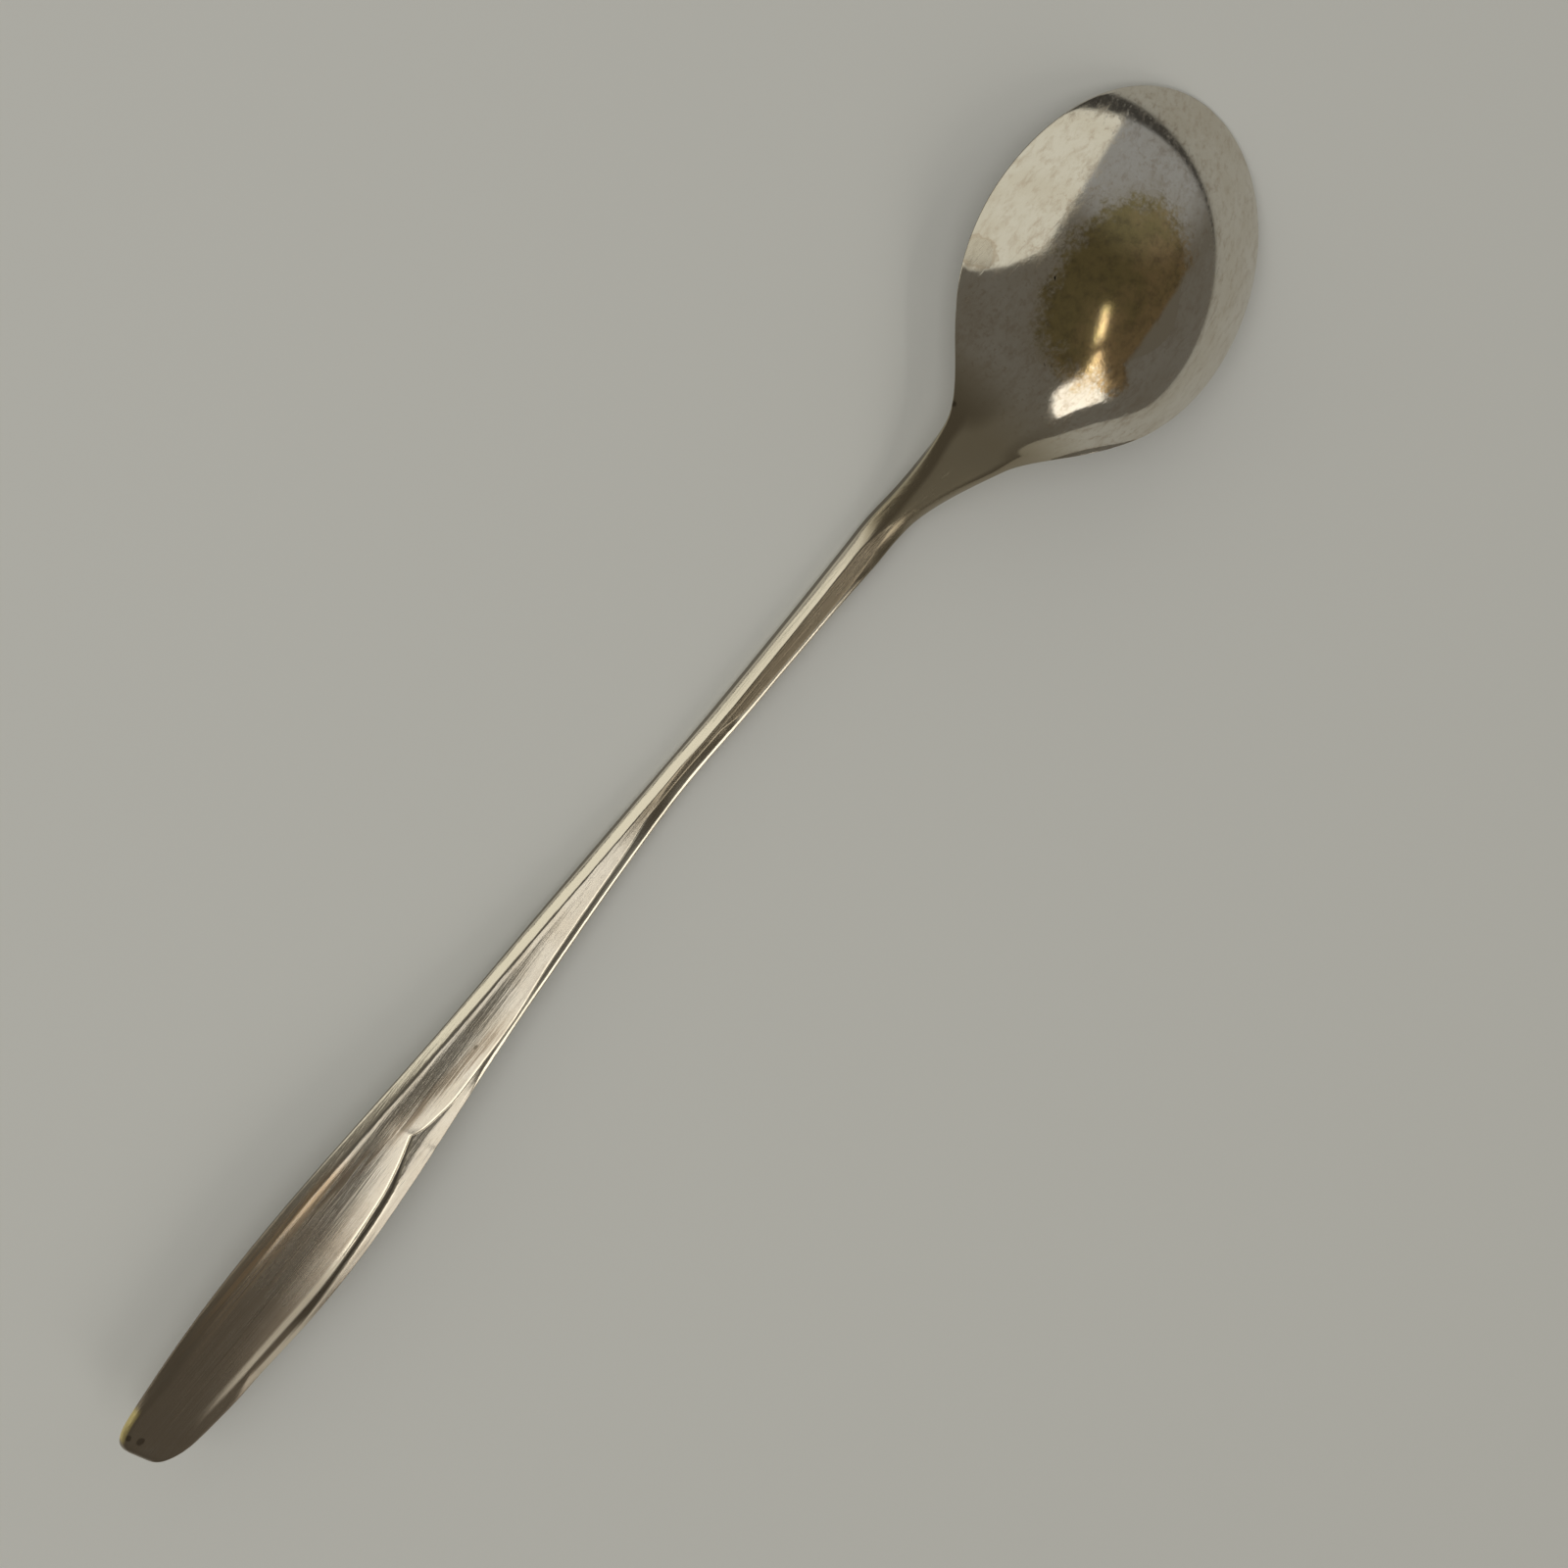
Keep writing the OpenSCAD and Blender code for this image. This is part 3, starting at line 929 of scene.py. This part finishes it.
def stain_nodes(nodes, vector, along, across, streaks):
    """How brown the plate is, from 0 to 1, and where the brown band crosses the handle."""
    slant = nodes.weighted(((along, BAND_ALONG), (across, BAND_ACROSS)))
    band = nodes.times(
        nodes.smooth(nodes.math("ABSOLUTE", nodes.math("SUBTRACT", slant, BAND_PLACE)), *BAND_EDGE),
        nodes.between(along, *BAND_STRETCH),
        nodes.smooth(streaks, 0.35, 0.6),
    )
    stain = nodes.weighted((
        (nodes.noise(vector, 0.13, detail=5, rough=0.6), 0.6),
        (nodes.times(streaks, nodes.smooth(along, HEEL_X, NECK_X)), 0.45),
        (nodes.smooth(along, *OLD_END), 0.55),
        (nodes.between(along, *STEM_STAIN), 0.5),
        (nodes.between(along, *NECK_STAIN), 0.4),
        (band, 0.5),
    ))
    return nodes.smooth(stain, 0.5, 1.15), band


def facing_nodes(nodes):
    """How far the surface faces up or down, and how far it faces left."""
    normal = nodes.add("ShaderNodeNewGeometry").outputs["Normal"]
    return nodes.math("ABSOLUTE", nodes.dot(normal, (0, 0, 1))), nodes.dot(normal, (0, 1, 0))


def brown_nodes(nodes, along, facing_up, facing_left):
    """1 where the flat of the stem and the sides of the neck are dark brown: brown tarnish with a painted
    dark reflection of the room, picked by the way each surface faces.
    """
    flat = nodes.times(nodes.smooth(facing_up, *FLAT_FACES_UP), nodes.between(along, *BROWN_STEM))
    slope = nodes.times(nodes.smooth(facing_up, *SLOPE_FACES_UP), nodes.between(along, *BROWN_SLOPE))
    sides = nodes.times(
        nodes.smooth(nodes.math("ABSOLUTE", facing_left), *SIDE_FACES_ASIDE),
        nodes.between(along, *BROWN_SIDES),
        nodes.smooth(facing_left, *BRIGHT_EDGE_FACES_LEFT),
    )
    right = nodes.times(
        nodes.smooth(facing_left, *RIGHT_HALF_FACES_LEFT),
        nodes.between(along, *BROWN_NECK),
    )
    return nodes.largest(flat, slope, sides, right)


def polish_and_highlight_nodes(nodes, along, facing_left, rubbed_and_highlight):
    """1 on the bevels, painted as highlights by the way they face, and on the lines that are worn and
    painted bright.
    """
    left = nodes.times(
        nodes.smooth(facing_left, *LEFT_BEVEL_FACES_LEFT),
        nodes.smooth(along, *LEFT_HIGHLIGHT_BEGINS),
    )
    right = nodes.times(
        nodes.smooth(facing_left, *RIGHT_BEVEL_FACES_LEFT),
        nodes.between(along, *RIGHT_HIGHLIGHT),
    )
    bevels = nodes.times(nodes.largest(left, right), nodes.smooth(along, *HIGHLIGHT_ENDS))
    return nodes.largest(bevels, rubbed_and_highlight)


def finish_material(nodes, colour, roughness, height):
    """Metal with this colour, roughness and fine relief."""
    shader = nodes.add("ShaderNodeBsdfPrincipled")
    shader.inputs["Metallic"].default_value = 1.0
    nodes.put(colour, shader.inputs["Base Color"])
    nodes.put(roughness, shader.inputs["Roughness"])
    bump = nodes.add("ShaderNodeBump")
    bump.inputs["Strength"].default_value = 1.0
    bump.inputs["Distance"].default_value = BUMP_HEIGHT
    nodes.put(height, bump.inputs["Height"])
    nodes.put(bump.outputs["Normal"], shader.inputs["Normal"])
    output = nodes.add("ShaderNodeOutputMaterial")
    nodes.put(shader.outputs[0], output.inputs["Surface"])


def new_material(name):
    material = bpy.data.materials.new(name)
    material.use_nodes = True
    return material, Nodes(material.node_tree)


def silver_material():
    """Worn plate: tarnish, worn edges with painted highlights, painted shade on the walls and the left
    edge, a painted dark reflection on the stem and the low handle, flecks, and brass around the edge of the
    worn patch.
    """
    material, nodes = new_material("worn_silver_plate")
    vector, along, across = place_nodes(nodes)
    streaks = nodes.noise(nodes.stretched(vector, (0.05, 2.4, 1.0)), 1.0, detail=5, rough=0.6)
    fine_streaks = nodes.noise(nodes.stretched(vector, (0.1, 8, 2)), 1.0, detail=3, rough=0.6)
    grain = grain_nodes(nodes, vector)
    ragged = ragged_nodes(nodes, vector, 1.2, 1.2)
    scratches = nodes.largest(
        scratch_nodes(nodes, vector, 0.5, 1.0),
        scratch_nodes(nodes, vector, -0.9, 0.8),
    )
    on_handle = nodes.smooth(along, HEEL_X + 4, NECK_X)

    # Which way the surface faces tells the bevels and the plain side walls apart: the bevels get painted
    # highlights, the walls painted shade and the stem's flat a painted dark reflection
    facing_up, facing_left = facing_nodes(nodes)
    rubbed_and_highlight = nodes.attribute(SHINE)
    polish_and_highlight = polish_and_highlight_nodes(nodes, along, facing_left, rubbed_and_highlight)
    brown = brown_nodes(nodes, along, facing_up, facing_left)
    # Painted shade on the upright side walls that face left
    shaded_wall = nodes.times(
        nodes.smooth(facing_up, *WALL_FACES_UP),
        nodes.smooth(facing_left, *WALL_FACES_LEFT),
    )
    # Painted highlight: a gold glint on the facets of the handle's end that face left
    gold_highlight = nodes.times(nodes.smooth(facing_left, *GOLD_FACES_LEFT), nodes.between(along, *GOLD_STRETCH))

    # Tarnish along the left edge, in clouds and in the neck, and painted shade on the left edge itself
    left_distance = nodes.attribute(FROM_LEFT)
    bronze = nodes.times(
        nodes.between(left_distance, *BRONZE_STRIP),
        nodes.between(along, *BRONZE_STRETCH),
        nodes.smooth(streaks, 0.3, 0.6),
    )
    # Painted shade along the outermost strip of the left edge
    shaded_left_edge = nodes.times(
        nodes.smooth(left_distance, *SHADED_EDGE_STRIP),
        nodes.between(along, *SHADED_EDGE_STRETCH),
    )
    stain, band = stain_nodes(nodes, vector, along, across, streaks)
    warm = nodes.smooth(nodes.noise(vector, 0.2, detail=4, rough=0.6), 0.35, 0.7)
    clouds = nodes.noise(nodes.stretched(vector, (0.5, 1.3, 1), 0.7), 1.0, detail=6, rough=0.7)
    haze = nodes.times(nodes.smooth(clouds, 0.45, 0.7), nodes.smooth(along, HEEL_X, JOIN_X))
    neck = nodes.between(along, *NECK_OLIVE)

    # The worn patch, the specks around it and at the heel, the water mark and the dark flecks
    far, bare = patch_nodes(nodes, vector, along, across)
    thin = nodes.smooth(far, *THIN_EDGE)
    speckled = nodes.largest(
        nodes.smooth(far, *NEAR_PATCH),
        nodes.times(nodes.between(along, *HEEL_SPECKS), 0.9),
    )
    specks = nodes.times(nodes.smooth(nodes.noise(vector, 1.8, detail=4, rough=0.7), 0.54, 0.64), speckled)
    water = spot_nodes(nodes, along, across, *WATER_MARK, ragged)
    water_far = nodes.plus(oval_nodes(nodes, along, across, *WATER_MARK), ragged)
    water_edge = nodes.between(water_far, *WATER_EDGE)
    flecks = nodes.largest(*[
        spot_nodes(nodes, along, across, place, size, ragged)
        for place, size in DARK_FLECKS
    ])

    colour = SILVER
    layers = (
        (warm, 0.5, WARM_SILVER),
        (stain, 1.0, TARNISH),
        (haze, 0.6, TARNISH),
        (water_edge, 0.8, TARNISH),
        (specks, 0.6, TARNISH),
        (neck, 0.8, OLIVE_TARNISH),
        # brown tarnish with a painted dark reflection on the stem and the neck
        (brown, 0.85, STEM_TARNISH_AND_REFLECTION),
        (bronze, 0.9, BRONZE_TARNISH),
        # painted highlights on the bevels and on the worn lines
        (polish_and_highlight, 0.9, HIGHLIGHT_SILVER),
        (nodes.largest(water, thin), 0.5, WARM_SILVER),
    )
    for share, weight, tone in layers:
        colour = nodes.mix(nodes.times(share, weight), colour, tone)
    # Painted dark reflection: the handle is darker below the stem and more so towards its end, except where
    # highlights are painted
    dark_reflection = nodes.weighted((
        (nodes.smooth(along, *DARK_REFLECTION_HANDLE), 0.26),
        (nodes.smooth(along, *DARK_REFLECTION_END), 0.12),
    ))
    dark_reflection = nodes.times(dark_reflection, nodes.math("SUBTRACT", 1.0, polish_and_highlight))
    recess_dirt = nodes.attribute(RECESS)
    # Darker places: flecks, dirt in the recesses and the brown band, with painted shade on the walls and
    # the left edge and a painted dark reflection on the low handle
    darks = ((flecks, 0.8), (shaded_wall, 0.8), (recess_dirt, 0.8), (shaded_left_edge, 0.45), (band, 0.5), (dark_reflection, 1.0))
    dark = nodes.largest(*[nodes.times(share, weight) for share, weight in darks])
    colour = nodes.mix(dark, colour, DARK_TARNISH_AND_SHADE)
    colour = nodes.mix(gold_highlight, colour, GOLD_HIGHLIGHT)
    colour = nodes.mix(bare, colour, brass_tone(nodes, vector, across))

    scuffed = nodes.times(rubbed_and_highlight, nodes.smooth(along, *SCUFFED_END))
    roughness = nodes.plus(SILVER_ROUGHNESS, nodes.weighted((
        (on_handle, 0.15), (stain, 0.08), (bare, 0.03), (thin, 0.05), (scratches, 0.1), (water, 0.2),
        (polish_and_highlight, -0.08), (haze, 0.1), (scuffed, 0.35),
    )))
    brushed = nodes.weighted(((streaks, 0.4), (fine_streaks, 0.2)))
    height = nodes.weighted((
        (nodes.times(brushed, on_handle), 1.0), (grain, 0.01), (nodes.times(grain, thin), 0.08),
        (scratches, -0.02),
    ))
    finish_material(nodes, colour, roughness, height)
    return material


def brass_material():
    """Bare brass, which is seen through the worn patch and is silvery around the patch's edge."""
    material, nodes = new_material("bare_brass")
    vector, along, across = place_nodes(nodes)
    bare = patch_nodes(nodes, vector, along, across)[1]
    under_plate = nodes.smooth(patch_oval(nodes, along, across), *UNDER_PLATE)
    shown = nodes.largest(bare, under_plate)
    colour = nodes.mix(shown, WARM_SILVER, brass_tone(nodes, vector, across))
    roughness = nodes.plus(nodes.times(bare, 0.03), BRASS_ROUGHNESS)
    finish_material(nodes, colour, roughness, nodes.times(grain_nodes(nodes, vector), 0.09))
    return material


blank, plate = build_spoon()
blank.data.materials.append(brass_material())
plate.data.materials.append(silver_material())
for piece, node, slot in ((blank, "brass_blank", "brass"), (plate, "silver_plate", "silver")):
    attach(piece, "root")
    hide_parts(node)


# Camera at the photo's viewing angle: heading and tilt of its view, and the plan direction that is up
CAMERA_HEADING = math.radians(-114.917)
CAMERA_TILT = math.radians(27.703)
CAMERA_UP = math.radians(40.358)
CAMERA_PLACE = Vector((148.313 - MIDDLE_X, 79.472, 190.355)) * MM
CAMERA_LENS = 45
CAMERA_SENSOR = 36
CAMERA_NEAREST = 0.005


def make_camera():
    """Camera of the scene, and the directions that are right and up in its picture."""
    forward = Vector((
        math.sin(CAMERA_TILT) * math.cos(CAMERA_HEADING),
        math.sin(CAMERA_TILT) * math.sin(CAMERA_HEADING),
        -math.cos(CAMERA_TILT),
    ))
    up = Vector((math.cos(CAMERA_UP), math.sin(CAMERA_UP), 0))
    up = (up - forward * up.dot(forward)).normalized()
    right = forward.cross(up)
    data = bpy.data.cameras.new("camera")
    data.sensor_width = CAMERA_SENSOR
    data.lens = CAMERA_LENS
    data.clip_start = CAMERA_NEAREST
    camera = bpy.data.objects.new("camera", data)
    turned = Matrix((right, up, -forward)).transposed().to_4x4()
    camera.matrix_world = Matrix.Translation(CAMERA_PLACE) @ turned
    bpy.context.scene.collection.objects.link(camera)
    bpy.context.scene.camera = camera
    return right, up


image_right, image_up = make_camera()
plan_right = Vector((image_right.x, image_right.y, 0)).normalized()
plan_up = Vector((image_up.x, image_up.y, 0)).normalized()

FLOOR_SIZE = 6
FLOOR_COLOUR = (0.68, 0.685, 0.66, 1)


def make_floor():
    """Plain pale floor under the spoon."""
    half = FLOOR_SIZE / 2
    corners = [(-half, -half, 0), (half, -half, 0), (half, half, 0), (-half, half, 0)]
    mesh = bpy.data.meshes.new("floor")
    mesh.from_pydata(corners, [], [(0, 1, 2, 3)])
    floor = bpy.data.objects.new("floor", mesh)
    bpy.context.scene.collection.objects.link(floor)
    material, nodes = new_material("pale_floor")
    shader = nodes.add("ShaderNodeBsdfDiffuse")
    shader.inputs["Color"].default_value = FLOOR_COLOUR
    output = nodes.add("ShaderNodeOutputMaterial")
    nodes.put(shader.outputs[0], output.inputs["Surface"])
    mesh.materials.append(material)


# The room: a pale panel to the left of the picture, grey above, darker elsewhere and at the horizon.
# Directions are given as the tilt from straight up and the turn from the picture's right.
PANEL = (0.81, 0.795, 0.70, 1)
ROOM_DARK = (0.155, 0.145, 0.125, 1)
ROOM_GREY = (0.34, 0.345, 0.345, 1)
ROOM_ABOVE = (0.17, 0.16, 0.14, 1)
HORIZON = (0.055, 0.052, 0.047, 1)
PANEL_CORNER = (41, 122)
PANEL_RIGHT = (83, 67)
PANEL_LEFT = (75, 181)
GREY_MIDDLE = (80, 60)
HORIZON_TURN = 125
HORIZON_LEAN = 0.09

# How soft the edges between the room's parts are
PANEL_SOFT = (-0.015, 0.015)
GREY_SOFT = (0.72, 0.97)
ABOVE_SOFT = (0.9, 0.995)
HORIZON_SOFT = (0.05, 0.03)


def sky(tilt, turn):
    """Direction in the room."""
    plan = plan_right * math.cos(math.radians(turn)) + plan_up * math.sin(math.radians(turn))
    return plan * math.sin(math.radians(tilt)) + Vector((0, 0, math.cos(math.radians(tilt))))


def make_room():
    """World that the metal mirrors."""
    world = bpy.data.worlds.new("room")
    bpy.context.scene.world = world
    world.use_nodes = True
    nodes = Nodes(world.node_tree)
    direction = nodes.add("ShaderNodeTexCoord").outputs["Generated"]
    height = nodes.dot(direction, (0, 0, 1))
    leaning_height = nodes.dot(direction, Vector((0, 0, 1)) - sky(90, HORIZON_TURN) * HORIZON_LEAN)
    corner_way = sky(*PANEL_CORNER)
    beside_right = corner_way.cross(sky(*PANEL_RIGHT)).normalized()
    beside_left = sky(*PANEL_LEFT).cross(corner_way).normalized()
    in_panel = nodes.times(
        nodes.smooth(nodes.dot(direction, beside_right), *PANEL_SOFT),
        nodes.smooth(nodes.dot(direction, beside_left), *PANEL_SOFT),
    )
    in_grey = nodes.smooth(nodes.dot(direction, sky(*GREY_MIDDLE)), *GREY_SOFT)
    colour = nodes.mix(in_grey, ROOM_DARK, ROOM_GREY)
    colour = nodes.mix(nodes.smooth(height, *ABOVE_SOFT), colour, ROOM_ABOVE)
    colour = nodes.mix(in_panel, colour, PANEL)
    colour = nodes.mix(nodes.smooth(leaning_height, *HORIZON_SOFT), colour, HORIZON)
    background = nodes.add("ShaderNodeBackground")
    nodes.put(colour, background.inputs["Color"])
    output = nodes.add("ShaderNodeOutputWorld")
    nodes.put(background.outputs[0], output.inputs["Surface"])


# Lamps that the bowl mirrors: place seen from the bowl, long way in plan, both sides and radiance
BOWL_MIDDLE = Vector((0.07, 0, 0.012))
LAMP_COLOUR = (1.0, 0.96, 0.88)
STREAK_WAY = (0.79, 0.61, 0)
LAMPS = (
    ("window", (-0.7135, -1.462, 1), (0.386, 0.923, 0), (1.79, 0.57), 1.5),
    ("near_strip", (-0.15, -0.62, 1), STREAK_WAY, (0.24, 0.1), 3.0),
    ("far_strip", (0.14, -0.31, 1), STREAK_WAY, (0.34, 0.06), 4.5),
)

# Soft light from the picture's left, which the metal does not mirror
FILL_PLACE = sky(32, 160) * 1.2
FILL_SIZE = (1.0, 1.0)
FILL_RADIANCE = 1.6
FILL_COLOUR = (1.0, 0.99, 0.97)


def make_lamp(name, place, long_way, size, radiance, colour, shows_in_metal=True):
    """Level rectangular lamp at a place seen from the bowl, with its long side one way in plan."""
    away = Vector((0, 0, 1))
    long_side = long_way.normalized()
    data = bpy.data.lights.new(name, "AREA")
    data.shape = "RECTANGLE"
    data.size, data.size_y = size
    data.energy = radiance * math.pi * size[0] * size[1]
    data.color = colour
    lamp = bpy.data.objects.new(name, data)
    lamp.matrix_world = (
        Matrix.Translation(BOWL_MIDDLE + place)
        @ Matrix((long_side, away.cross(long_side), away)).transposed().to_4x4()
    )
    lamp.visible_glossy = shows_in_metal
    bpy.context.scene.collection.objects.link(lamp)


make_floor()
make_room()
for lamp_name, lamp_place, long_way, lamp_size, radiance in LAMPS:
    make_lamp(lamp_name, Vector(lamp_place), Vector(long_way), lamp_size, radiance, LAMP_COLOUR)
make_lamp("fill", FILL_PLACE, plan_right, FILL_SIZE, FILL_RADIANCE, FILL_COLOUR, shows_in_metal=False)
bpy.context.scene.view_settings.view_transform = "Standard"
